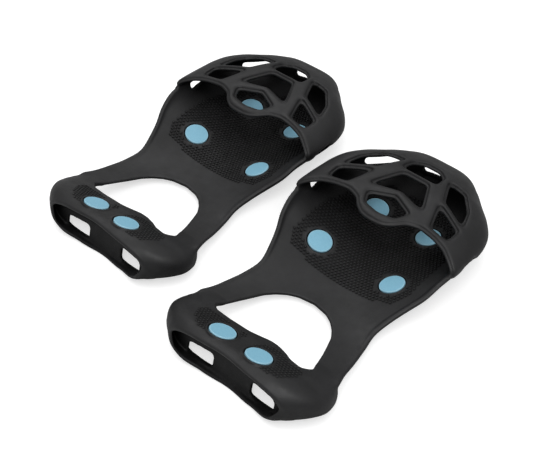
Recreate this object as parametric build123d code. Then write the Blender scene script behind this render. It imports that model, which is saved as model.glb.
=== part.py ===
from build123d import *
import math
import os

# A pair of pull-on ice cleats, lying sole down with the heel straps tucked under.
# Millimetres. Each cleat is drawn in its own frame: X across, +Y to the toe, Z up from
# the ground, Y = 0 on the line through the rear pair of forefoot studs. Then each is moved
# to its place beside the other.

CLEATS = {"left": (-73.0, 25.75), "right": (73.0, -1.25)}   # frame origins on the ground

SKIN = 3.0                # rubber thickness
GAP = 0.4                 # clearance where two moving segments meet
ARCH_Y, ARCH_Z = -30.0, 4.3          # arch fold line
ARCH_OPEN, ARCH_CLOSE = 20.0, 40.0   # half angles of the notches under and over the fold
STRAP_Y, STRAP_Z = -122.0, 33.0      # heel strap turn line
BAR_HALF = 46.5           # half length of the heel bar
STRAP_INNER = 47.3        # inner face of the strap's side walls

# Forefoot stations: y, half width, height of the widest line, floor, roof
TOE = [
    (-29.0, 53.0, 16.2, 5.4, 24.0),
    (-18.0, 57.0, 19.5, 5.1, 30.0),
    (-6.0, 62.6, 24.2, 5.1, 36.0),
    (6.0, 65.9, 28.6, 5.1, 40.0),
    (18.0, 67.9, 29.2, 5.1, 42.0),
    (30.0, 68.4, 27.4, 5.1, 42.3),
    (42.0, 67.2, 25.6, 5.1, 42.3),
    (54.0, 65.2, 24.6, 5.1, 42.3),
    (64.0, 62.4, 24.2, 5.4, 42.3),
    (74.0, 55.2, 24.0, 6.4, 40.8),
    (82.0, 46.8, 24.0, 8.0, 38.6),
    (90.0, 39.0, 24.0, 10.0, 36.0),
    (97.0, 31.5, 23.6, 12.4, 33.0),
    (102.5, 24.0, 23.2, 14.8, 30.6),
    (106.5, 15.0, 23.0, 17.6, 28.4),
]
# Waist and arm stations: y, half width, edge height, mid height
ARM = [
    (-31.0, 52.6, 15.8, 5.5),
    (-42.0, 49.8, 12.4, 6.5),
    (-56.0, 51.9, 11.6, 9.0),
    (-70.0, 54.6, 13.2, 12.3),
    (-84.0, 57.2, 16.2, 16.9),
    (-92.0, 59.8, 18.4, 20.0),
    (-97.0, 61.2, 19.6, 22.2),
]
# Heel ring stations: y, half width, roof
RING = [
    (-98.3, 62.6, 23.0),
    (-104.0, 64.6, 25.6),
    (-111.0, 64.9, 29.0),
    (-118.0, 62.2, 32.6),
    (-125.0, 57.0, 36.0),
    (-131.0, 51.4, 36.6),
]
HEEL_HOLE = [       # right half of the hole in front of the heel bar, front to back
    (0.0, -44.3), (11.5, -46.5), (18.0, -50.0), (24.0, -55.5), (28.8, -62.0),
    (32.0, -70.0), (35.4, -79.0), (38.7, -89.7), (41.3, -95.5),
]
BAR_FRONT = [       # back edge of that hole, right to left, with the swell by one stud
    (36.0, -100.6), (27.0, -99.6), (21.5, -97.0), (13.4, -94.8), (6.6, -94.8),
    (1.4, -96.4), (-8.0, -99.0), (-24.0, -99.8), (-36.0, -99.2),
]
MOUTH = [           # right half of the toe web's rear edge, middle to side
    (0.0, 14.0), (9.0, 15.0), (16.0, 19.5), (21.0, 25.5), (30.0, 28.6),
    (42.0, 27.0), (52.0, 24.0), (60.0, 19.0), (75.0, 9.0),
]
WEB_MID = [         # openings on the middle line
    [(0, 42), (16.5, 34), (12, 25.5), (0, 23.2), (-12, 25.5), (-16.5, 34)],
    [(21, 43.5), (10, 66), (-10, 66), (-21, 43.5), (0, 50)],
    [(14, 71.5), (13, 81), (6, 87), (-6, 87), (-13, 81), (-14, 71.5)],
]
WEB_SIDE = [        # openings on the right, mirrored to the left
    [(29, 54), (50, 43.5), (49.5, 32.5), (36, 34.5)],
    [(20, 79.5), (33, 77.5), (45, 63), (49.5, 50), (29, 60.5)],
]
WEB_CUT_Z = 27.0          # the web openings are cut from here upwards
# Windows of the toe wall and the strap panel: centre, turn about Z, size; right half only
FRONT_WINDOW = ((0, 105, 17.8), 0, (32, 24, 5.2))
CORNER_WINDOW = ((42, 85.3, 23.3), -42, (27, 16, 6.4))
SIDE_WINDOW = ((64, 34, 24.3), 0, (14, 14, 5))
PANEL_WINDOW = ((26, -125.5, 9.4), 0, (22, 9, 9.6))
TREADS = [(-10, 30), (4, 22), (32, 30), (68, 24)]     # y, width of each bar under the sole
TREAD_DEPTH, TREAD_TOP = 6.0, 3.4

STUD_FRONT = [(-31.2, 0.0, 10.5), (31.2, 0.0, 10.5), (-22.5, 54.0, 7.6), (22.5, 54.0, 7.6)]
STUD_TILT = [19.0, -19.0, 12.5, -12.5]    # about Y, leaning in to the bowl of the sole
STUD_HEEL = [(-15.1, -115.5, 31.9), (15.1, -115.5, 31.9)]
HEEL_TILT = -29.0         # about X

# Stud parts, measured along the stud from the top face of its disc downwards
DISC_R, DISC_CHAMFER, RECESS = 9.0, 0.4, 1.3
DISC_H = 1.6
BOSS_R, BOSS_END = 8.4, 4.3
HUB_R, HUB_END = 4.2, 5.2
WASHER_R, WASHER_TOP, WASHER_END = 6.4, 4.35, 5.0
PIN_R, PIN_TOP, PIN_END = 2.2, 2.0, 6.3
TIP_R, TIP_TOP, TIP_END = 1.1, 4.6, 7.2
FIT = 0.05                # radial clearance between pressed parts


def across(half_width, steps=7):
    """Positions from one side to the other, closer together near the sides."""
    turns = [math.pi * i / (2 * steps) - math.pi / 2 for i in range(2 * steps + 1)]
    return [half_width * math.sin(a) for a in turns]


def bowl(x, half_width, edge, mid):
    """Height of the sheet: low in the middle, rising to the edges."""
    return mid + (edge - mid) * (x / half_width) ** 2


def dome(x, half_width, edge, roof):
    """Height of the toe roof: nearly flat, rolling over at the sides."""
    return edge + (roof - edge) * math.sqrt(max(0.0, 1 - (x / half_width) ** 4))


def closed_section(y, low, high):
    """Face between a lower and an upper row of (x, z) points sharing their ends."""
    below = Spline(*[(x, y, z) for x, z in low])
    above = Spline(*[(x, y, z) for x, z in high])
    return Face(Wire([below, above]))


def toe_section(station, inset):
    """Section of the forefoot hull, drawn in by inset."""
    y, half, edge, floor, roof = station
    half = half - inset
    floor = floor - SKIN + inset
    roof = roof - inset
    low = [(x, bowl(x, half, edge, floor)) for x in across(half)]
    high = [(x, dome(x, half, edge, roof)) for x in across(half)]
    return closed_section(y, low, high)


def ring_section(station, inset):
    """Section of the heel ring, a flattened tube standing on the ground."""
    y, half, roof = station
    half = half - inset
    mid = roof / 2
    rise = mid - inset
    bulge = [(x, rise * (1 - abs(x / half) ** 5) ** 0.4) for x in across(half)]
    return closed_section(y, [(x, mid - h) for x, h in bulge], [(x, mid + h) for x, h in bulge])


def sheet_section(station):
    """Section of the waist and arms: a thin bowed strip from edge to edge."""
    y, half, edge, mid = station
    top = [(x, y, bowl(x, half, edge, mid)) for x in across(half)]
    under = [(x, y, z - SKIN) for x, y, z in top]
    sides = [Line(top[0], under[0]), Line(top[-1], under[-1])]
    return Face(Wire([Spline(*top), sides[1], Spline(*under), sides[0]]))


def profile_x(points, half_width):
    """Bar along X over an outline of (y, z) points."""
    outline = make_face(Polyline(*[(0, y, z) for y, z in points], close=True))
    return extrude(outline, half_width, dir=(1, 0, 0), both=True)


def prism(points, low, high, radius):
    """Upright prism over a plan outline, its corners rounded."""
    outline = make_face(Polyline(*points, close=True))
    outline = fillet(outline.vertices(), radius)
    return extrude(Pos(0, 0, low) * outline, high - low)


def mirrored(points):
    """The same outline on the other side of the cleat."""
    return [(-x, y) for x, y in points]


def arch_cutter(side):
    """Everything past the fold line on one side (+1 keeps the front, -1 the back)."""
    def lean(angle, rise):
        return ARCH_Y + side * (GAP + abs(rise) * math.tan(math.radians(angle)))
    top, deep, far = 60.0, -15.0, ARCH_Y - side * 90
    outline = [
        (ARCH_Y + side * GAP, ARCH_Z), (lean(ARCH_CLOSE, top), ARCH_Z + top), (far, ARCH_Z + top),
        (far, ARCH_Z + deep), (lean(ARCH_OPEN, deep), ARCH_Z + deep),
    ]
    return profile_x(outline, 90)


def mouth_cutter():
    """Block that opens the hull behind the toe web and above the side walls."""
    edge = list(reversed(mirrored(MOUTH[1:]))) + MOUTH
    plan = [(-75, -60)] + edge + [(75, -60)]
    rim = [(y, z) for y, half, z, floor, roof in TOE if y < 14]
    side = rim + [(18, 29.6), (31, 30.4), (31, 60), (-29, 60)]
    side[0] = (-31, rim[0][1] - 1)
    plan_block = extrude(make_face(Polyline(*plan, close=True)), 60)
    return plan_block & profile_x(side, 90)


def window(place, side=1):
    """Box that cuts one window, on the right or mirrored to the left."""
    (x, y, z), turn, size = place
    return Pos(side * x, y, z) * Rot(0, 0, side * turn) * Box(*size)


def web_cutters():
    """The openings of the toe web, its front and corner windows and its side windows."""
    cuts = [prism(p, WEB_CUT_Z, 60, 1.5) for p in WEB_MID]
    for outline in WEB_SIDE:
        cuts += [prism(outline, WEB_CUT_Z, 60, 1.5), prism(mirrored(outline), WEB_CUT_Z, 60, 1.5)]
    cuts.append(window(FRONT_WINDOW))
    for side in (-1, 1):
        cuts += [window(CORNER_WINDOW, side), window(SIDE_WINDOW, side)]
    return cuts


def stud_places(front):
    """Placements of the studs, Z along the stud and its disc face at the origin."""
    if front:
        return [Pos(*p) * Rot(0, t, 0) for p, t in zip(STUD_FRONT, STUD_TILT)]
    return [Pos(*p) * Rot(HEEL_TILT, 0, 0) for p in STUD_HEEL]


def cylinder(radius, top, end):
    """Cylinder along the stud, from depth top to depth end under the disc face."""
    return Pos(0, 0, -(top + end) / 2) * Cylinder(radius, end - top)


def seat_studs(skin, front):
    """Add a boss under the sheet and the stepped hole for each stud."""
    for place in stud_places(front):
        skin += place * cylinder(BOSS_R, 2.0, BOSS_END)
    for place in stud_places(front):
        skin -= place * cylinder(DISC_R + 0.15, -6, RECESS + FIT)
        skin -= place * cylinder(HUB_R + FIT, 0, 12)
    return skin


def treads():
    """Low bars across the middle of the sole, reaching the ground."""
    bars = [Pos(0, y, TREAD_TOP / 2) * Box(width, TREAD_DEPTH, TREAD_TOP) for y, width in TREADS]
    return [fillet(bar.edges().filter_by(Axis.Z), 2) for bar in bars]


def forefoot():
    """Sole, side walls and toe web, one moulded skin."""
    inner = [(TOE[0][0] - 2,) + TOE[0][1:]] + TOE[1:-1]
    skin = loft([toe_section(s, 0) for s in TOE]) - loft([toe_section(s, SKIN) for s in inner])
    skin -= mouth_cutter()
    for cut in web_cutters():
        skin -= cut
    for tread in treads():
        skin += tread
    skin = seat_studs(skin, True)
    return skin - arch_cutter(1)


def heel_hole():
    """Outline of the hole between the arms."""
    front = list(reversed(mirrored(HEEL_HOLE[1:]))) + HEEL_HOLE
    curve = Spline(*front)
    back = Polyline(front[-1], *BAR_FRONT, front[0])
    return extrude(make_face(Wire(curve.edges() + back.edges())), 60)


def bar_profile():
    """Heel bar section: rises to the rear and rolls over to its lip."""
    top = [(y, 5.1 + 26 * ((-20 - y) / 95) ** 2) for y in (-93, -100, -107, -115, -123)]
    top += [(-127.5, 37.2), (-131, 36.0)]
    under = [(-130.2, 33.2), (-127, 34.1), (-122, 32.6), (-114, 27.6)]
    under += [(-106, 23.2), (-99, 19.7), (-92, 17.0)]
    return top + under


def heel_yoke():
    """Waist, arms and heel bar, one moulded skin."""
    skin = loft([sheet_section(s) for s in ARM]) + profile_x(bar_profile(), BAR_HALF)
    skin -= heel_hole()
    skin = seat_studs(skin, False)
    return skin - arch_cutter(-1)


def heel_strap():
    """Side walls, ground flange and windowed panel that go up behind the shoe."""
    inner = [(-97.0,) + RING[0][1:]] + RING[1:-1] + [(-133.0,) + RING[-1][1:]]
    ring = loft([ring_section(s, 0) for s in RING]) - loft([ring_section(s, SKIN) for s in inner])
    ring -= Pos(0, -115, 20) * Box(2 * STRAP_INNER, 60, 60)
    ring -= profile_x([(-90, -5), (-90, 14), (-97, 14), (-112, -1), (-112, -5)], 90)
    flange = Pos(0, -127.5, 1.5) * Box(2 * STRAP_INNER + 4, 7, 3)
    panel = Pos(0, -125.5, 10.5) * Box(2 * STRAP_INNER + 6, 3, 19)
    for side in (-1, 1):
        panel -= window(PANEL_WINDOW, side)
    return ring + flange + panel


def stud_disc(place):
    """Coloured plastic disc with a hollow hub through the sole."""
    disc = Pos(0, 0, -DISC_H / 2 + 0.3) * Cylinder(DISC_R, DISC_H)
    disc = chamfer(disc.edges().group_by(Axis.Z)[-1], DISC_CHAMFER)
    bore = cylinder(PIN_R + FIT, PIN_TOP - 0.1, 12)
    return place * (disc + cylinder(HUB_R, 1, HUB_END) - bore)


def stud_pin(place):
    """Steel pin held in the hub, its lower face drilled for the tip."""
    pin = cylinder(PIN_R, PIN_TOP, PIN_END)
    pin = chamfer(pin.edges().group_by(Axis.Z)[0], 0.5)
    return place * (pin - cylinder(TIP_R + FIT, TIP_TOP, 12))


def carbide_tip(place):
    """Hard tip standing out of the pin."""
    tip = cylinder(TIP_R, TIP_TOP + 0.1, TIP_END)
    return place * chamfer(tip.edges().group_by(Axis.Z)[0], 0.4)


def stud_washer(place):
    """Ring clipped round the hub under the boss."""
    return place * (cylinder(WASHER_R, WASHER_TOP, WASHER_END) - cylinder(HUB_R + FIT, 0, 12))


def cleat_nodes():
    """Every node of one cleat in its own frame."""
    nodes = {"forefoot_skin": [forefoot()], "heel_yoke": [heel_yoke()], "heel_strap": [heel_strap()]}
    for end, front in (("forefoot", True), ("heel", False)):
        places = stud_places(front)
        nodes[end + "_stud_discs"] = [stud_disc(p) for p in places]
        nodes[end + "_stud_pins"] = [stud_pin(p) for p in places]
        nodes[end + "_carbide_tips"] = [carbide_tip(p) for p in places]
        nodes[end + "_stud_washers"] = [stud_washer(p) for p in places]
    return nodes


def main():
    os.makedirs("parts", exist_ok=True)
    nodes = cleat_nodes()
    for side, (x, y) in CLEATS.items():
        for name, shapes in nodes.items():
            solids = [Pos(x, y, 0) * s for shape in shapes for s in shape.solids()]
            export_step(Compound(children=solids), f"parts/{side}_{name}.step")


main()
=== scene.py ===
import math

import bmesh
import bpy
import numpy as np
from mathutils import Matrix, Vector


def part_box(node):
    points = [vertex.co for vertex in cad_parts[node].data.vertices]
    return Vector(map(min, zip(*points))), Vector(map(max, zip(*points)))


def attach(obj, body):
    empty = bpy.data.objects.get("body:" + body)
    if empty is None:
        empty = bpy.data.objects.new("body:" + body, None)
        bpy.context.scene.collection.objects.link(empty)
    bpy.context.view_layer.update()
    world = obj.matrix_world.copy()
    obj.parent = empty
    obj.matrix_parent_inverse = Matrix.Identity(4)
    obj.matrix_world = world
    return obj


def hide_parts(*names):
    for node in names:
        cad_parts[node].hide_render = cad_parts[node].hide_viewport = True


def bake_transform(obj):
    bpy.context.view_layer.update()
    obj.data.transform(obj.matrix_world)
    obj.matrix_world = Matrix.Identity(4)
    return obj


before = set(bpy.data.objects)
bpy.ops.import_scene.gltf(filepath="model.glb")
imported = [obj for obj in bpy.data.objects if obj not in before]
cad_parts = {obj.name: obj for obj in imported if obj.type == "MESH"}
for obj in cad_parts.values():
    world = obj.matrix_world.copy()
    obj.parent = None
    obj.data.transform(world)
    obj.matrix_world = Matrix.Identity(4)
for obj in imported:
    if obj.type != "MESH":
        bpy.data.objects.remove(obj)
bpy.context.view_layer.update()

# The rubber skins are worked out in millimetres in one cleat's own frame: X across, +Y to
# the toe, Z up, Y = 0 on the rear pair of forefoot studs. place_cleat() carries them to each side.

STEP = 0.6    # spacing of the sampling grid
GRID_LOW, GRID_HIGH = (-71, -137.6, -1.8), (71, 110.5, 45)
SKIN = 3.0                           # rubber thickness
ARM_END = -97.0                      # the arms end and the strap's side walls begin
RING_START = -76.0                   # the heel ring is worked out behind here
BAR_END = 46.9                       # half length of the heel bar
BAND_TOP, SLIT = 22.0, 0.06          # height where the strap's band meets the bar's walls, half gap there
BAND_START = -108.0                  # in front of here the band holds only the ground rim
TOE_TIP = 107.0
TIP_TO_FRONT = 106.5                 # from Y = 0 to the front of the forefoot's CAD box
WEB_FLOOR = 24.0                     # the net's openings are cut from here upwards
MOUTH_RIM = 29.8                     # and its rear edge from here
RIM_TURN = 14.0                      # behind here the side walls' rim follows the hull's edge height

# A stud: place of its disc's top, turns about Y and X. Its seat is measured along the stud.
STUDS = [((-31.2, 0.0, 10.5), 19.0, 0.0), ((31.2, 0.0, 10.5), -19.0, 0.0),
         ((-22.5, 54.0, 7.6), 12.5, 0.0), ((22.5, 54.0, 7.6), -12.5, 0.0),
         ((-15.1, -115.5, 31.9), 0.0, -29.0), ((15.1, -115.5, 31.9), 0.0, -29.0)]
BOSS_R, BOSS_END = 8.4, 4.3
COLLAR_R, COLLAR_DEPTH, COLLAR_THICK = 10.4, 0.75, 0.85
RECESS_R, RECESS_DEPTH = 9.45, 1.3
HUB_HOLE_R = 4.3

# y, half width, height of the widest line, floor, roof
HULL = np.array([
    (-101.0, 62.0, 20.6, 23.9, 32.0), (-97.0, 61.2, 19.6, 22.2, 30.0), (-92.0, 59.8, 18.4, 20.0, 28.0),
    (-84.0, 57.2, 16.2, 16.9, 25.0), (-70.0, 54.6, 13.2, 12.3, 22.0), (-56.0, 51.9, 11.6, 9.0, 20.0),
    (-42.0, 49.9, 12.6, 6.5, 21.0), (-29.0, 53.0, 16.2, 5.4, 24.0), (-18.0, 57.0, 19.5, 5.1, 30.0),
    (-6.0, 62.6, 24.2, 5.1, 36.0), (6.0, 65.9, 28.6, 5.1, 40.0), (18.0, 67.9, 29.2, 5.1, 42.0),
    (30.0, 68.4, 27.4, 5.1, 42.3), (42.0, 68.0, 25.6, 5.1, 42.3), (54.0, 66.6, 24.6, 5.1, 42.3),
    (64.0, 63.0, 24.2, 5.4, 42.0), (74.0, 55.2, 24.0, 6.4, 40.8), (82.0, 46.8, 24.0, 8.0, 38.6),
    (90.0, 39.0, 24.0, 10.0, 36.0), (97.0, 31.0, 23.6, 12.4, 33.0), (102.5, 24.5, 23.2, 14.8, 30.6),
    (112.0, 12.0, 23.0, 19.5, 27.0)])
# y, half width, roof of the flattened heel ring
RING = np.array([
    (-137.0, 43.0, 35.0), (-131.0, 50.2, 36.4), (-125.0, 56.8, 36.0), (-118.0, 62.0, 32.8),
    (-111.0, 64.9, 29.0), (-104.0, 64.6, 25.6), (-98.3, 62.9, 22.4), (-92.0, 60.2, 19.3), (-86.0, 58.0, 15.5),
    (-74.0, 55.6, 9.0)])
HOLE = [(0.0, -44.3), (11.5, -46.5), (18.0, -50.0), (24.0, -55.5), (28.8, -62.0), (32.0, -70.0),
        (35.4, -79.0), (38.7, -89.7), (41.3, -95.5)]
HOLE_BACK = [(36.0, -100.6), (27.0, -99.6), (21.5, -97.0), (13.4, -94.8), (6.6, -94.8), (1.4, -96.4),
             (-8.0, -99.0), (-24.0, -99.8), (-36.0, -99.2)]
MOUTH = [(0.0, 14.0), (9.0, 15.0), (16.0, 19.5), (21.0, 25.5), (30.0, 28.6), (42.0, 27.0), (52.0, 24.0),
         (60.0, 19.0), (75.0, 9.0)]
WEB_MID = [[(0, 42), (16.5, 34), (12, 25.5), (0, 23.2), (-12, 25.5), (-16.5, 34)],
           [(21, 43.5), (10, 66), (-10, 66), (-21, 43.5), (0, 50)],
           [(14, 71.5), (13, 81), (6, 87), (-6, 87), (-13, 81), (-14, 71.5)]]
WEB_SIDE = [[(29, 54), (50, 43.5), (49.5, 32.5), (36, 34.5)],
            [(20, 79.5), (33, 77.5), (45, 63), (49.5, 50), (29, 60.5)]]
# Windows of the toe wall: centre, turn about Z, size, corner radius; right half only
FRONT_WINDOW = ((0, 105, 17.8), 0, (32, 24, 5.2), 2.4)
CORNER_WINDOW = ((42, 85.3, 23.3), -42, (27, 16, 6.4), 2.8)
SIDE_WINDOW = ((64, 34, 24.3), 0, (14, 14, 5.0), 2.2)

REAR = -132.2                        # rear edge of the heel bar
PANEL_Y, PANEL_TOP, PANEL_HALF = -126.8, 20.0, 1.3     # strap panel: Y at the ground, height, half thickness
PANEL_WINDOW = (26.4, 9.6, 10.2, 5.3, 3.0)             # centre X and Z, half width and height, corner radius
HOLLOW_HALF, HOLLOW_TOP, HOLLOW_REAR = 45.5, 12.0, -125.5     # the ring has no underside inside this block

TREADS = [(-10, 30), (4, 22), (32, 30), (68, 24)]      # y, width of each bar under the sole
TREAD_TOP, TREAD_END = 3.4, 2.0

# Pips: outline of the field, then pitch, distance kept from a stud, radius and height
PAD = [(-2, -19.5), (30, -19.5), (44, -17), (50.5, -8), (50.5, 30), (46, 48), (38, 64), (26, 78),
       (-2, 82)]
PAD_PIPS = (2.75, 11.8, 1.02, 0.9)
PATCHES = [[(4, -125), (3.5, -107), (9, -100), (20, -99), (31, -103), (41, -103), (43, -110), (35, -123),
            (22, -127)],
           [(-4, -125), (-3.5, -104), (-12, -102.5), (-34, -102.5), (-43, -103.5), (-43.5, -111),
            (-34, -123), (-22, -127)]]
PATCH_PIPS = (2.4, 11.5, 0.9, 0.65)

RUBBER = ((0.0108, 0.0108, 0.0113), (0.0172, 0.0172, 0.0182))     # darkest and lightest tone
DISC_BLUE = ((0.185, 0.43, 0.575), (0.25, 0.51, 0.65))
# Painted highlight: lighter colour mixed into the discs' chamfered edges
DISC_RIM_HIGHLIGHT = (0.47, 0.70, 0.80, 1)

FLOOR_HALF, FLOOR_Z, FLOOR_GLOW = 3.0, -0.0002, 0.62
LAMPS = [("key", (0.45, -0.40, 1.30), 0.8, 10.5), ("fill", (-0.7, 0.5, 1.2), 0.9, 5)]   # place, size, watts
AIM = (0.0102, -0.02125, 0.010)      # camera target, metres
DISTANCE, LENS = 0.7741, 74.02
AZIMUTH, ELEVATION, ROLL = 42.63, 45.84, 1.73


def mirrored(points):
    return [(-x, y) for x, y in points]


def curve(table, column, y):
    """Smooth curve through one column of a station table, along y."""
    order = np.argsort(table[:, 0])
    ys, values = table[order, 0], table[order, column]
    slopes = np.gradient(values, ys)
    i = np.clip(np.searchsorted(ys, y) - 1, 0, len(ys) - 2)
    gap = ys[i + 1] - ys[i]
    t = np.clip((y - ys[i]) / gap, 0, 1)
    a, b = 2 * t ** 3 - 3 * t ** 2 + 1, t ** 3 - 2 * t ** 2 + t
    c, d = 3 * t ** 2 - 2 * t ** 3, t ** 3 - t ** 2
    return a * values[i] + b * gap * slopes[i] + c * values[i + 1] + d * gap * slopes[i + 1]


def smooth_max(a, b, k):
    """Maximum of two distances with a rounded join of size k."""
    h = np.maximum(k - np.abs(a - b), 0) / k
    return np.maximum(a, b) + h * h * (k * 0.25)


def smooth_min(a, b, k):
    return -smooth_max(-a, -b, k)


def ease(value, low, high):
    t = np.clip((value - low) / (high - low), 0, 1)
    return t * t * (3 - 2 * t)


def outline_distance(points, x, y):
    """Signed distance in plan to a closed outline, negative inside."""
    p = np.array(points, np.float32)
    best = np.full(np.broadcast(x, y).shape, 1e9, np.float32)
    inside = np.zeros(best.shape, bool)
    for a, b in zip(p, np.roll(p, -1, 0)):
        ex, ey = b - a
        t = np.clip(((x - a[0]) * ex + (y - a[1]) * ey) / (ex * ex + ey * ey), 0, 1)
        best = np.minimum(best, (x - a[0] - ex * t) ** 2 + (y - a[1] - ey * t) ** 2)
        if ey != 0:
            crosses = (y < a[1]) != (y < b[1])
            inside ^= crosses & (x < a[0] + ex * (y - a[1]) / ey)
    return np.sqrt(best) * np.where(inside, -1, 1)


def rounded(plan, radius):
    """Plan distance with its corners rounded by a Gaussian blur."""
    n = int(3 * radius / STEP) + 1
    kernel = np.exp(-0.5 * (np.arange(-n, n + 1) * STEP / radius) ** 2)
    kernel /= kernel.sum()
    for axis in (0, 1):
        pad = [(0, 0), (0, 0)]
        pad[axis] = (n, n)
        wide = np.pad(plan, pad, mode="edge")
        size = plan.shape[axis]
        plan = sum(w * np.take(wide, range(i, i + size), axis) for i, w in enumerate(kernel))
    return plan.astype(np.float32)


def true_distance(field):
    """A field scaled to measure distance near its zero surface."""
    gx, gy, gz = np.gradient(field, STEP)
    return field / np.maximum(np.sqrt(gx * gx + gy * gy + gz * gz), 1e-4)


class Grid:
    """Sampling points over a box, kept as one axis each way."""

    def __init__(self, axes):
        self.axes = axes
        self.low = np.array([axis[0] for axis in axes], np.float32)
        self.x = axes[0][:, None, None]
        self.y = axes[1][None, :, None]
        self.z = axes[2][None, None, :]
        self.x2, self.y2 = self.x[:, :, 0], self.y[:, :, 0]

    def part(self, low, high):
        """Slices of the grid inside a box, and the grid cut to it."""
        ends = [np.searchsorted(axis, pair) for axis, pair in zip(self.axes, zip(low, high))]
        cut = tuple(slice(first, last) for first, last in ends)
        return cut, Grid([axis[piece] for axis, piece in zip(self.axes, cut)])


def sole_height(x, y):
    """Top face of the sole, waist and arms."""
    half, edge, floor = curve(HULL, 1, y), curve(HULL, 2, y), curve(HULL, 3, y)
    return floor + (edge - floor) * np.minimum((x / half) ** 2, 1.5)


def bar_squareness(y):
    """Exponent of the heel ring's upper outline: an oval at the mouth, a flat bar in front."""
    return 2.2 + 2.8 * ease(y, -131, -110) + 3.0 * ease(y, -110, -96)


def bar_height(x, y):
    """Top face of the heel bar."""
    half, roof = curve(RING, 1, y), curve(RING, 2, y)
    return roof / 2 * (1 + np.maximum(1 - np.abs(x / half) ** bar_squareness(y), 0) ** 0.4)


def hull_distance(g):
    """Outside of the forefoot pocket, waist and arms as one closed form."""
    half, edge, roof = (curve(HULL, n, g.y) for n in (1, 2, 4))
    share = (g.x / half) ** 2
    top = sole_height(g.x, g.y)
    by_x, by_y = np.gradient(top[:, :, 0], STEP)
    below = (top - g.z) / np.sqrt(1 + by_x ** 2 + by_y ** 2)[:, :, None] - SKIN
    lift = np.maximum(g.z - edge, 0) / (roof - edge)
    above = true_distance(np.sqrt(lift ** 2 + np.minimum(share, 4) ** 2 + 1e-6) - 1)
    round_off = 2.0 + 7.0 * ease(g.y, -20, 30)
    return smooth_max(smooth_max(above, below, round_off), g.y - TOE_TIP, 9.0)


def web_openings(g):
    """Plan distance to the nearest opening of the toe web."""
    outlines = WEB_MID + WEB_SIDE + [mirrored(o) for o in WEB_SIDE]
    near = [rounded(outline_distance(o, g.x2, g.y2), 1.6) for o in outlines]
    return np.minimum.reduce(near)[:, :, None]


def block_distance(g, centre, turn, size, radius):
    """Distance to a rounded block turned about Z."""
    c, s = math.cos(math.radians(turn)), math.sin(math.radians(turn))
    x, y, z = g.x - centre[0], g.y - centre[1], g.z - centre[2]
    u, v = c * x + s * y, -s * x + c * y
    q = [np.abs(a) - h / 2 + radius for a, h in zip((u, v, z), size)]
    outside = np.sqrt(sum(np.maximum(a, 0) ** 2 for a in q))
    return outside + np.minimum(np.maximum(np.maximum(q[0], q[1]), q[2]), 0) - radius


def windows(g):
    """Distance to the front, corner and side windows of the toe pocket."""
    near = block_distance(g, *FRONT_WINDOW)
    for side in (-1, 1):
        for (x, y, z), turn, size, radius in (CORNER_WINDOW, SIDE_WINDOW):
            near = np.minimum(near, block_distance(g, (side * x, y, z), side * turn, size, radius))
    return near


def front_skin(g):
    """Sole, walls, toe web, waist and arms."""
    hull = hull_distance(g)
    openings = smooth_max(web_openings(g), WEB_FLOOR - g.z, 1.0)
    openings = np.minimum(openings, windows(g))
    on_web = ease(g.z, 23, 25)
    edge = list(reversed(mirrored(MOUTH[1:]))) + MOUTH
    mouth = [(-75, -140)] + edge + [(75, -140)]
    mouth = rounded(outline_distance(mouth, g.x2, g.y2), 2.0)[:, :, None]
    lip = 1.1 * (1 - ease(openings, 1.45, 1.9)) + 0.7 * (1 - ease(mouth, 1.6, 2.1)) * ease(g.z, 29, 31)
    crown = 0.8 * np.sqrt(np.clip((np.minimum(openings, mouth) - 1.9) / 2.2, 0, 1)) * ease(g.y, 10, 16)
    skin = smooth_max(hull + (lip - crown) * on_web, -(hull + SKIN), 0.8)
    skin = smooth_max(skin, -openings, 0.6)
    rim = np.where(g.y < RIM_TURN, curve(HULL, 2, np.minimum(g.y, RIM_TURN)), MOUTH_RIM)
    skin = smooth_max(skin, -smooth_max(mouth, rim - g.z, 3.0), 1.2)
    return smooth_max(skin, ARM_END - SKIN - g.y, 1.0)


def ring_hull(g):
    """Outside of the heel ring as one closed form, open at neither end."""
    half, mid = curve(RING, 1, g.y), curve(RING, 2, g.y) / 2
    power = 2.1 + (bar_squareness(g.y) - 2.1) * ease(g.z, mid - 6, mid + 6)
    shape = (np.abs(g.x / half) ** power + np.abs((g.z - mid) / mid) ** 2.5 + 1e-6) ** 0.4 - 1
    return true_distance(shape)


def strap_panel(g, hull):
    """Upright sheet of the strap behind the bar, with its two windows."""
    place = PANEL_Y + 0.3 * g.z - 2.6 * (g.x / 36) ** 2
    panel = smooth_max(np.abs(g.y - place) - PANEL_HALF, np.maximum(g.z - PANEL_TOP, 1 - g.z), 1.6)
    panel = smooth_max(panel, hull + 0.5, 1.0)
    x, z, half_x, half_z, radius = PANEL_WINDOW
    gap_x = np.abs(np.abs(g.x) - x) - half_x + radius
    gap_z = np.abs(g.z - z) - half_z + radius
    gap = np.sqrt(np.maximum(gap_x, 0) ** 2 + np.maximum(gap_z, 0) ** 2) - radius
    return smooth_max(panel, -gap, 0.9)


def heel_ring(g, hull):
    """Heel bar, side walls, ground rim and windowed panel."""
    ring = smooth_max(hull, -(hull + SKIN), 0.8)
    diagonal = 17.0 + (g.y + 88) * 0.75
    ring = smooth_max(ring, (diagonal - g.z) * 0.8, 2.0)
    hollow = np.maximum(np.abs(g.x) - HOLLOW_HALF, g.z - HOLLOW_TOP)
    hollow = np.maximum(hollow, HOLLOW_REAR - g.y)
    ring = smooth_max(ring, -hollow, 2.0)
    across = np.abs(g.x)
    bow = 1.2 * ease(across, 24, 0) - 3.0 * ease(across, 20, 38)
    rear = REAR + 1.0 * ease(across, 22, 0) + bow * ease(g.z, 22, 12)
    ring = smooth_max(ring, rear - g.y, 1.6)
    return smooth_min(ring, strap_panel(g, hull), 2.0)


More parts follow.
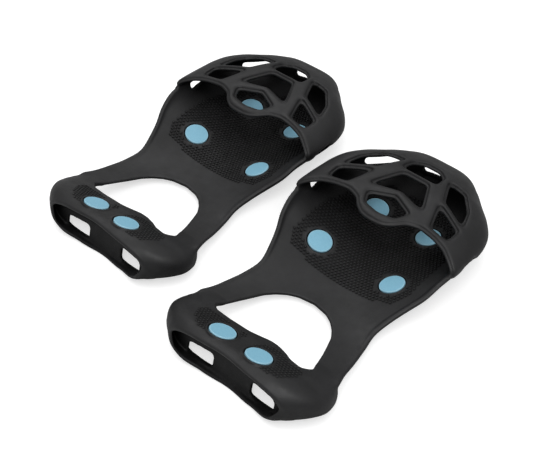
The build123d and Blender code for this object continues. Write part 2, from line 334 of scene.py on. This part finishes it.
def stud_axes(stud, g):
    """Distance of grid points from a stud's axis, and their height along it."""
    (px, py, pz), about_y, about_x = stud
    a, b = math.radians(about_y), math.radians(about_x)
    x, y, z = g.x - px, g.y - py, g.z - pz
    y, z = math.cos(b) * y + math.sin(b) * z, -math.sin(b) * y + math.cos(b) * z
    x, z = math.cos(a) * x - math.sin(a) * z, math.sin(a) * x + math.cos(a) * z
    return np.sqrt(x * x + y * y), z


def seat_studs(g, field):
    """Boss under the sheet, recess and collar over it, at each stud."""
    for stud in STUDS:
        px, py, pz = stud[0]
        cut, near = g.part((px - 15, py - 15, pz - 11), (px + 15, py + 15, pz + 8))
        radius, height = stud_axes(stud, near)
        boss = smooth_max(radius - BOSS_R, np.maximum(-BOSS_END - height, height + 1.5), 1.2)
        skin = smooth_min(field[cut], boss, 1.2)
        collar = np.sqrt((radius - COLLAR_R) ** 2 + (height + COLLAR_DEPTH) ** 2) - COLLAR_THICK
        skin = smooth_min(skin, collar, 0.7)
        skin = smooth_max(skin, -np.maximum(radius - RECESS_R, -RECESS_DEPTH - height), 0.5)
        field[cut] = smooth_max(skin, -(radius - HUB_HOLE_R), 0.3)


def add_treads(g, field):
    """Low bars under the middle of the sole."""
    for y, width in TREADS:
        cut, near = g.part((-20, y - 6, -2), (20, y + 6, 6))
        past_x = np.maximum(np.abs(near.x) - width / 2 + TREAD_END, 0)
        past_y = np.maximum(np.abs(near.y - y) - 1, 0)
        bar = np.sqrt(past_x ** 2 + past_y ** 2) - TREAD_END
        bar = smooth_max(bar, np.maximum(-near.z, near.z - TREAD_TOP), 0.6)
        field[cut] = smooth_min(field[cut], bar, 0.8)


def surface(g, field):
    """Quads over the zero surface of a field, one corner point per crossed cell."""
    inside = field < 0
    shape = np.array(field.shape) - 1
    corners = [(i, j, k) for i in (0, 1) for j in (0, 1) for k in (0, 1)]
    views = [inside[i:i + shape[0], j:j + shape[1], k:k + shape[2]] for i, j, k in corners]
    active = np.logical_or.reduce(views) & ~np.logical_and.reduce(views)
    cells = np.argwhere(active)
    index = np.full(active.shape, -1, np.int32)
    index[active] = np.arange(len(cells))
    values = np.stack([field[cells[:, 0] + i, cells[:, 1] + j, cells[:, 2] + k] for i, j, k in corners], 1)
    spots = np.array(corners, np.float32)
    total, count = np.zeros((len(cells), 3), np.float32), np.zeros(len(cells), np.float32)
    for a in range(8):
        for b in range(a + 1, 8):
            if np.abs(spots[a] - spots[b]).sum() != 1:
                continue
            va, vb = values[:, a], values[:, b]
            crossed = (va < 0) != (vb < 0)
            t = np.where(crossed, va / np.where(crossed, va - vb, 1), 0)[:, None]
            total += np.where(crossed[:, None], spots[a] + t * (spots[b] - spots[a]), 0)
            count += crossed
    points = (cells + total / count[:, None]) * STEP + g.low
    quads = []
    for axis in range(3):
        one = tuple(slice(0, -1) if n == axis else slice(1, -1) for n in range(3))
        two = tuple(slice(1, None) if n == axis else slice(1, -1) for n in range(3))
        crossed = inside[one] != inside[two]
        leaving = ~inside[one][crossed]
        step_u, step_v = np.eye(3, dtype=int)[[(axis + 1) % 3, (axis + 2) % 3]]
        base = np.argwhere(crossed) + step_u + step_v
        ring = [base - step_u - step_v, base - step_v, base, base - step_u]
        quad = np.stack([index[r[:, 0], r[:, 1], r[:, 2]] for r in ring], 1)
        quad[leaving] = quad[leaving][:, ::-1]
        quads.append(quad)
    return points, np.concatenate(quads)


def relax(points, quads, rounds):
    """Even out the surface without shrinking it."""
    links = np.concatenate([quads[:, [i, (i + 1) % 4]] for i in range(4)])
    links = np.concatenate([links, links[:, ::-1]])
    count = np.bincount(links[:, 0], minlength=len(points))[:, None]
    for n in range(2 * rounds):
        sums = [np.bincount(links[:, 0], points[links[:, 1], k], len(points)) for k in range(3)]
        mean = np.stack(sums, 1)
        points = points + (0.5 if n % 2 == 0 else -0.52) * (mean / count - points)
    return points


def pip_spots(outlines, pitch, studs, clear):
    """Staggered positions inside some outlines and clear of the stud collars."""
    x, y = np.meshgrid(np.arange(-60, 60, pitch), np.arange(-140, 100, pitch * 0.866))
    x = x + (np.arange(len(x)) % 2)[:, None] * pitch / 2
    x, y = x.ravel(), y.ravel()
    keep = np.zeros(len(x), bool)
    for outline in outlines:
        keep |= outline_distance(outline, x, y) < -0.8
    for (px, py, _), _, about_x in studs:
        keep &= np.hypot(x - px, (y - py) / math.cos(math.radians(about_x))) > clear
    x, y = x[keep], y[keep]
    neighbours = (np.hypot(x[:, None] - x, y[:, None] - y) < 1.3 * pitch).sum(1)
    return x[neighbours > 3], y[neighbours > 3]


def pips(outlines, studs, size, height):
    """One closed low dome per spot of a field, standing on a height function."""
    pitch, clear, radius, rise = size
    x, y = pip_spots(outlines, pitch, studs, clear)
    e = 0.2
    slope_x = (height(x + e, y) - height(x - e, y)) / (2 * e)
    slope_y = (height(x, y + e) - height(x, y - e)) / (2 * e)
    normal = np.stack([-slope_x, -slope_y, np.ones_like(x)], 1)
    normal /= np.linalg.norm(normal, axis=1)[:, None]
    side = np.cross(normal, [0, 1.0, 0])
    side /= np.linalg.norm(side, axis=1)[:, None]
    front = np.cross(normal, side)
    base = np.stack([x, y, height(x, y)], 1)
    points = [base + normal * rise]
    for r, up in ((radius, -0.5), (radius, 0.05), (radius * 0.72, rise * 0.75)):
        for k in range(6):
            a = k * math.pi / 3
            points.append(base + normal * up + side * (r * math.cos(a)) + front * (r * math.sin(a)))
    points.append(base - normal * 0.5)
    faces = []
    for k in range(6):
        n = (k + 1) % 6
        faces.append((13 + k, 13 + n, 0, 0))
        faces.append((7 + k, 7 + n, 13 + n, 13 + k))
        faces.append((1 + k, 1 + n, 7 + n, 7 + k))
        faces.append((19, 1 + n, 1 + k, 1 + k))
    faces = np.array(faces)[None] + (np.arange(len(x)) * len(points))[:, None, None]
    return np.stack(points, 1).reshape(-1, 3), faces.reshape(-1, 4)


def make_mesh(name, points, faces):
    """Mesh from points and faces; a face that repeats its last corner is a triangle."""
    mesh = bpy.data.meshes.new(name)
    solid = [tuple(f) if f[2] != f[3] else tuple(f[:3]) for f in faces.tolist()]
    mesh.from_pydata((points * 0.001).tolist(), [], solid)
    mesh.shade_smooth()
    return mesh


def region_mesh(name, source, wanted):
    """Copy of a cut mesh with only the wanted faces, its cut ends closed."""
    bm = bmesh.new()
    bm.from_mesh(source)
    unwanted = [f for f in bm.faces if not wanted(f.calc_center_median() * 1000)]
    bmesh.ops.delete(bm, geom=unwanted, context="FACES")
    edges = [e for e in bm.edges if e.is_boundary]
    filled = bmesh.ops.holes_fill(bm, edges=edges, sides=0)["faces"]
    for f in filled:
        f.smooth = False
        for e in f.edges:
            e.smooth = False
    mesh = bpy.data.meshes.new(name)
    bm.to_mesh(mesh)
    bm.free()
    return mesh


def skin_field(g):
    """Distance field of one cleat's whole rubber moulding."""
    field = front_skin(g)
    cut, rear = g.part((-80, -140, -5), (80, RING_START, 50))
    hull = ring_hull(rear)
    sheet = smooth_max(field[cut], hull - 8 * ease(rear.y, -99, -82), 2.0)
    field[cut] = smooth_min(sheet, heel_ring(rear, hull), 2.0)
    outline = list(reversed(mirrored(HOLE[1:]))) + HOLE + HOLE_BACK
    plan = rounded(outline_distance(outline, g.x2, g.y2), 1.3)[:, :, None]
    field = smooth_max(field, -smooth_max(plan, 9.0 - g.z - 20 * (g.y > -90), 1.0), 1.4)
    add_treads(g, field)
    seat_studs(g, field)
    return field.astype(np.float32)


def cut_at_joins(mesh):
    """Edges round a mesh where the strap's pieces meet the main skin."""
    bm = bmesh.new()
    bm.from_mesh(mesh)
    cuts = [((0, ARM_END, 0), (0, 1, 0))]
    cuts += [((side * BAR_END, 0, 0), (1, 0, 0)) for side in (-1, 1)]
    cuts += [((0, 0, BAND_TOP + side * SLIT), (0, 0, 1)) for side in (-1, 1)]
    for spot, normal in cuts:
        near = [f for f in bm.faces if f.calc_center_median().y < (ARM_END + 3) * 0.001]
        geom = near + list({e for f in near for e in f.edges}) + list({v for f in near for v in f.verts})
        bmesh.ops.bisect_plane(bm, geom=geom, plane_co=[c * 0.001 for c in spot], plane_no=normal, dist=1e-7)
    bm.to_mesh(mesh)
    bm.free()


def join_mesh(target, points, faces):
    """Add loose closed forms to a mesh."""
    mesh = make_mesh("pips", points, faces)
    bm = bmesh.new()
    bm.from_mesh(target)
    bm.from_mesh(mesh)
    bm.to_mesh(target)
    bm.free()
    bpy.data.meshes.remove(mesh)


def on_bar(c):
    return c.z > BAND_TOP + SLIT or (c.y > BAND_START and c.z > HOLLOW_TOP)


def on_main_skin(c):
    return c.y > ARM_END or (abs(c.x) < BAR_END and on_bar(c))


def on_strap_band(c):
    behind = c.y < ARM_END and abs(c.x) < BAR_END
    return behind and c.z < BAND_TOP - SLIT and not on_bar(c)


def cleat_meshes():
    """The skin of one cleat as four closed meshes: main, two strap ends, strap band."""
    axes = [np.arange(a, b + STEP, STEP, dtype=np.float32) for a, b in zip(GRID_LOW, GRID_HIGH)]
    g = Grid(axes)
    points, quads = surface(g, skin_field(g))
    whole = make_mesh("whole", relax(points, quads, 2), quads)
    cut_at_joins(whole)
    regions = {"main_skin": on_main_skin, "strap_end_right": lambda c: c.y < ARM_END and c.x > BAR_END,
               "strap_end_left": lambda c: c.y < ARM_END and c.x < -BAR_END, "strap_band": on_strap_band}
    meshes = {name: region_mesh(name, whole, wanted) for name, wanted in regions.items()}
    bpy.data.meshes.remove(whole)
    join_mesh(meshes["main_skin"], *pips([PAD, mirrored(PAD)], STUDS[:4], PAD_PIPS, sole_height))
    join_mesh(meshes["main_skin"], *pips(PATCHES, STUDS[4:], PATCH_PIPS, bar_height))
    return meshes


def node_graph(name):
    material = bpy.data.materials.new(name)
    material.use_nodes = True
    tree = material.node_tree
    return material, tree, tree.nodes["Principled BSDF"]


def add(tree, kind, **inputs):
    node = tree.nodes.new(kind)
    for key, value in inputs.items():
        node.inputs[key.replace("_", " ")].default_value = value
    return node


def noise(tree, scale, detail=4.0, roughness=0.55):
    place = tree.nodes.get("place") or tree.nodes.new("ShaderNodeTexCoord")
    place.name = "place"
    node = add(tree, "ShaderNodeTexNoise", Scale=scale, Detail=detail, Roughness=roughness)
    tree.links.new(place.outputs["Object"], node.inputs["Vector"])
    return node.outputs["Fac"]


def ramp(tree, source, stops):
    node = tree.nodes.new("ShaderNodeValToRGB")
    while len(node.color_ramp.elements) < len(stops):
        node.color_ramp.elements.new(0.5)
    for element, (place, colour) in zip(node.color_ramp.elements, stops):
        element.position = place
        element.color = (*colour, 1) if isinstance(colour, tuple) else (colour, colour, colour, 1)
    tree.links.new(source, node.inputs["Fac"])
    return node.outputs["Color"]


def bump(tree, shader, layers):
    """Chain of bump layers: (height socket, strength, distance in metres)."""
    last = None
    for height, strength, distance in layers:
        node = add(tree, "ShaderNodeBump", Strength=strength, Distance=distance)
        tree.links.new(height, node.inputs["Height"])
        if last:
            tree.links.new(last, node.inputs["Normal"])
        last = node.outputs["Normal"]
    tree.links.new(last, shader.inputs["Normal"])


def multiply(tree, first, second):
    node = tree.nodes.new("ShaderNodeMixRGB")
    node.blend_type = "MULTIPLY"
    node.inputs["Fac"].default_value = 1.0
    for slot, source in (("Color1", first), ("Color2", second)):
        if isinstance(source, float):
            node.inputs[slot].default_value = (source, source, source, 1)
        else:
            tree.links.new(source, node.inputs[slot])
    return node.outputs["Color"]


def painted_hollow_shade(tree, distance, closed, darkest, clear):
    """Painted shade: a colour factor that falls off where a surface is enclosed within a distance."""
    node = add(tree, "ShaderNodeAmbientOcclusion", Distance=distance)
    node.samples = 4
    return ramp(tree, node.outputs["AO"], [(closed, darkest), (clear, 1.0)])


def rubber_material():
    material, tree, shader = node_graph("moulded_rubber")
    # Painted shade: ambient occlusion darkens the rubber's base colour and specular level in hollows, pockets
    # and between the pips.
    shade = multiply(tree, painted_hollow_shade(tree, 0.040, 0.34, 0.10, 0.93), painted_hollow_shade(tree, 0.0016, 0.35, 0.08, 0.92))
    tone = ramp(tree, noise(tree, 55, 5), [(0.3, RUBBER[0]), (0.7, RUBBER[1])])
    tree.links.new(multiply(tree, tone, shade), shader.inputs["Base Color"])
    tree.links.new(multiply(tree, shade, 0.35), shader.inputs["Specular IOR Level"])
    rough = ramp(tree, noise(tree, 140, 6, 0.65), [(0.3, 0.44), (0.72, 0.60)])
    tree.links.new(rough, shader.inputs["Roughness"])
    bump(tree, shader, [(noise(tree, 3200, 3), 0.35, 0.00010), (noise(tree, 260, 3), 0.25, 0.00025)])
    return material


def rim_highlight_mask(tree, radius):
    """1 on flat faces, falling to 0 towards sharp edges."""
    bevel = add(tree, "ShaderNodeBevel", Radius=radius)
    facing = tree.nodes.new("ShaderNodeVectorMath")
    facing.operation = "DOT_PRODUCT"
    tree.links.new(bevel.outputs["Normal"], facing.inputs[0])
    tree.links.new(tree.nodes.new("ShaderNodeNewGeometry").outputs["True Normal"], facing.inputs[1])
    return ramp(tree, facing.outputs["Value"], [(0.90, 0.0), (0.985, 1.0)])


def disc_material():
    material, tree, shader = node_graph("blue_disc_plastic")
    tone = ramp(tree, noise(tree, 900, 5, 0.7), [(0.25, DISC_BLUE[0]), (0.75, DISC_BLUE[1])])
    # Painted highlight: the chamfered edge of each disc gets a lighter blue through the bevel mask.
    rim = tree.nodes.new("ShaderNodeMixRGB")
    rim.inputs["Color1"].default_value = DISC_RIM_HIGHLIGHT
    tree.links.new(rim_highlight_mask(tree, 0.0007), rim.inputs["Fac"])
    tree.links.new(tone, rim.inputs["Color2"])
    tree.links.new(rim.outputs["Color"], shader.inputs["Base Color"])
    rough = ramp(tree, noise(tree, 1500, 3), [(0.3, 0.42), (0.7, 0.58)])
    tree.links.new(rough, shader.inputs["Roughness"])
    bump(tree, shader, [(noise(tree, 4200, 3), 0.4, 0.00008)])
    return material


def steel_material():
    material, tree, shader = node_graph("zinc_steel")
    tone = ramp(tree, noise(tree, 700, 5, 0.7), [(0.3, (0.47, 0.48, 0.50)), (0.7, (0.66, 0.66, 0.65))])
    tree.links.new(tone, shader.inputs["Base Color"])
    shader.inputs["Metallic"].default_value = 1.0
    rough = ramp(tree, noise(tree, 1100, 4), [(0.3, 0.30), (0.7, 0.48)])
    tree.links.new(rough, shader.inputs["Roughness"])
    bump(tree, shader, [(noise(tree, 2500, 3), 0.3, 0.00006)])
    return material


def carbide_material():
    material, tree, shader = node_graph("sintered_carbide")
    tone = ramp(tree, noise(tree, 2500, 4, 0.7), [(0.3, (0.13, 0.13, 0.135)), (0.7, (0.22, 0.22, 0.225))])
    tree.links.new(tone, shader.inputs["Base Color"])
    shader.inputs["Metallic"].default_value = 0.9
    shader.inputs["Roughness"].default_value = 0.5
    bump(tree, shader, [(noise(tree, 5000, 3), 0.5, 0.00006)])
    return material


def dress_studs():
    """Materials for the stud parts, which keep their CAD shape."""
    steel = steel_material()
    looks = {"stud_discs": disc_material(), "stud_pins": steel, "stud_washers": steel,
             "carbide_tips": carbide_material()}
    for name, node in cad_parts.items():
        for key, material in looks.items():
            if name.endswith(key):
                node.data.materials.clear()
                node.data.materials.append(material)


def cleat_origin(side):
    """Where a cleat's own frame stands, from its forefoot node's box."""
    low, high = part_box(side + "_forefoot_skin")
    return Vector(((low.x + high.x) / 2, high.y - TIP_TO_FRONT * 0.001, 0.0))


def place_cleat(side, meshes, rubber):
    origin = cleat_origin(side)
    objects = {}
    for name, source in meshes.items():
        mesh = source.copy()
        for v in mesh.vertices:
            v.co += origin
        mesh.materials.append(rubber)
        piece = bpy.data.objects.new(f"{side}_{name}", mesh)
        bpy.context.scene.collection.objects.link(piece)
        objects[name] = piece
    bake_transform(objects["main_skin"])
    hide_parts(side + "_forefoot_skin", side + "_heel_yoke")
    for end in ("strap_end_right", "strap_end_left"):
        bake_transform(objects[end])
    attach(objects["strap_band"], side + "_strap")
    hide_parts(side + "_heel_strap")


def floor_material():
    """White to the eye with a faint shadow, and a mild bounce for the rubber."""
    material, tree, shader = node_graph("pale_floor")
    tone = ramp(tree, noise(tree, 3, 2), [(0.3, 0.60), (0.7, 0.62)])
    tree.links.new(tone, shader.inputs["Base Color"])
    shader.inputs["Roughness"].default_value = 0.9
    seen = tree.nodes.new("ShaderNodeLightPath").outputs["Is Camera Ray"]
    glow = add(tree, "ShaderNodeMath")
    glow.operation = "MULTIPLY"
    glow.inputs[1].default_value = FLOOR_GLOW
    tree.links.new(seen, glow.inputs[0])
    shader.inputs["Emission Color"].default_value = (1, 1, 1, 1)
    tree.links.new(glow.outputs["Value"], shader.inputs["Emission Strength"])
    return material


def lay_floor():
    corners = [(x * FLOOR_HALF, y * FLOOR_HALF, FLOOR_Z) for x, y in ((-1, -1), (1, -1), (1, 1), (-1, 1))]
    mesh = bpy.data.meshes.new("floor")
    mesh.from_pydata(corners, [], [(0, 1, 2, 3)])
    mesh.materials.append(floor_material())
    floor = bpy.data.objects.new("floor", mesh)
    bpy.context.scene.collection.objects.link(floor)


def light_sky():
    """White to the eye, and a soft gradient for the light it gives."""
    world = bpy.data.worlds.new("studio")
    bpy.context.scene.world = world
    bpy.context.scene.view_settings.view_transform = "Standard"
    world.use_nodes = True
    tree = world.node_tree
    up = tree.nodes.new("ShaderNodeSeparateXYZ")
    tree.links.new(tree.nodes.new("ShaderNodeTexCoord").outputs["Generated"], up.inputs["Vector"])
    sky = ramp(tree, up.outputs["Z"], [(0.0, 0.25), (0.9, 0.55)])
    seen = tree.nodes.new("ShaderNodeMixRGB")
    seen.inputs["Color2"].default_value = (1, 1, 1, 1)
    tree.links.new(tree.nodes.new("ShaderNodeLightPath").outputs["Is Camera Ray"], seen.inputs["Fac"])
    tree.links.new(sky, seen.inputs["Color1"])
    tree.links.new(seen.outputs["Color"], tree.nodes["Background"].inputs["Color"])


def hang_lamps():
    for name, spot, size, power in LAMPS:
        light = bpy.data.lights.new(name, "AREA")
        light.energy, light.size = power, size
        lamp = bpy.data.objects.new(name, light)
        lamp.location = spot
        lamp.rotation_euler = (-Vector(spot)).to_track_quat("-Z", "Y").to_euler()
        bpy.context.scene.collection.objects.link(lamp)


def aim_camera():
    camera = bpy.data.objects.new("camera", bpy.data.cameras.new("camera"))
    camera.data.lens = LENS
    azimuth, height, roll = (math.radians(a) for a in (AZIMUTH, ELEVATION, ROLL))
    flat = math.cos(height)
    back = Vector((math.sin(azimuth) * flat, -math.cos(azimuth) * flat, math.sin(height)))
    camera.location = Vector(AIM) + back * DISTANCE
    turn = back.to_track_quat("Z", "Y").to_matrix() @ Matrix.Rotation(-roll, 3, "Z")
    camera.rotation_euler = turn.to_euler()
    bpy.context.scene.collection.objects.link(camera)
    bpy.context.scene.camera = camera


dress_studs()
skins = cleat_meshes()
rubber = rubber_material()
for side in ("left", "right"):
    place_cleat(side, skins, rubber)
lay_floor()
light_sky()
hang_lamps()
aim_camera()
